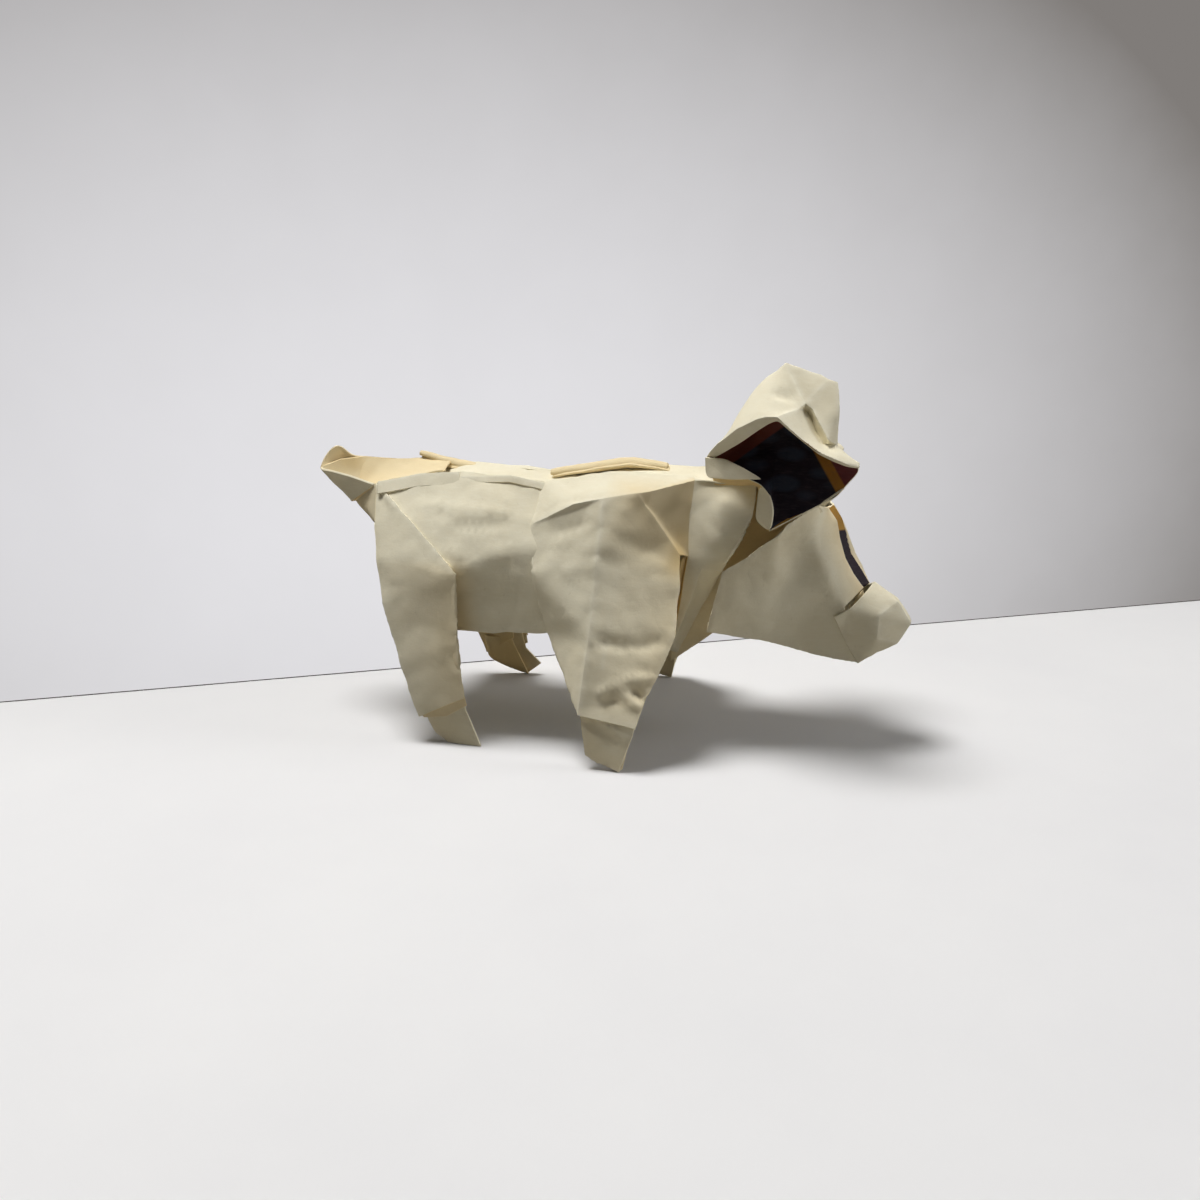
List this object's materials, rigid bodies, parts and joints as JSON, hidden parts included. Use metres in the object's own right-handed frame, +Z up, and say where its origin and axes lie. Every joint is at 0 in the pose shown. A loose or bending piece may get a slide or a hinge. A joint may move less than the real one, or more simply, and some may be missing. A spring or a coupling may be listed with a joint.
{
  "type": "origami pig",
  "caption": "Pig folded from one sheet of cream paper, standing on its hooves, with cupped ears, a curled tail and an open seam along the forehead.",
  "frame": {"origin": "on the surface the pig stands on, under the middle of its length, in its middle plane", "axes": "+X from the tail towards the snout, +Y towards the pig's left side, +Z up"},
  "size_m": [0.109, 0.0522, 0.0662],
  "materials": {
    "paper": "matte"
  },
  "bodies": {
    "root": {"folded_sheet": "paper"}
  },
  "joints": []
}
